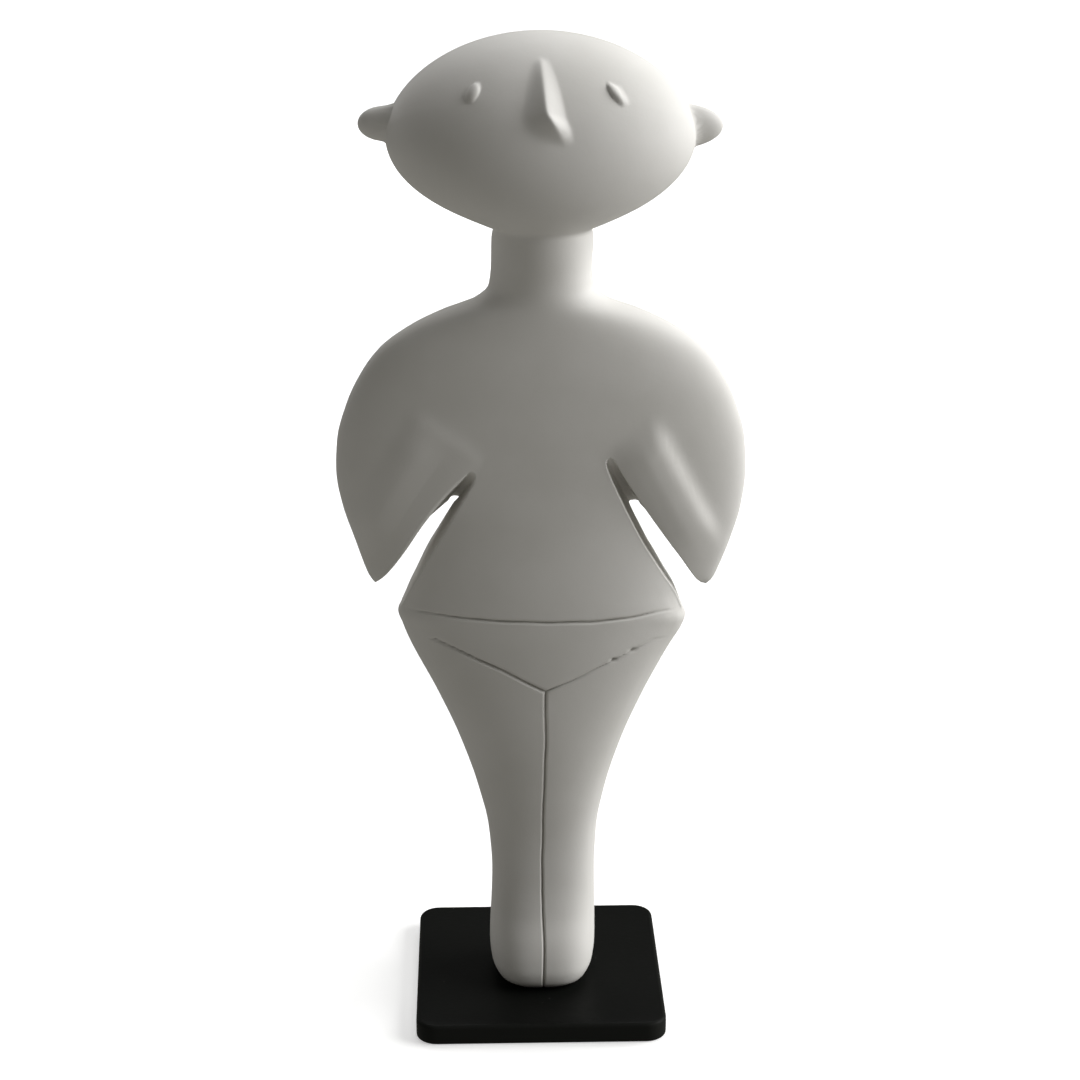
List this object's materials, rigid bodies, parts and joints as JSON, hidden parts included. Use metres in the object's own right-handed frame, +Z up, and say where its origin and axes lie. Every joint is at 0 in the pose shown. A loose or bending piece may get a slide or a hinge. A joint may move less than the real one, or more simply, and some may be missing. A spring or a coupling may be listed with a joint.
{
  "type": "stargazer figurine",
  "caption": "Flat standing idol with a backward-leaning egg-shaped head, folded wing-like arms and closed tapering legs, on a thin square base.",
  "frame": {"origin": "on the base plate's underside, below the middle of the figure, on the surface that the figurine stands on", "axes": "+Z up through the figure, -Y the way its front faces, +X to the right as it is looked at from the front"},
  "size_m": [0.095, 0.06, 0.2338],
  "materials": {
    "cast_white": "matte",
    "black_base": "satin"
  },
  "bodies": {
    "root": {"figure": "cast_white", "base_plate": "black_base"}
  },
  "joints": []
}
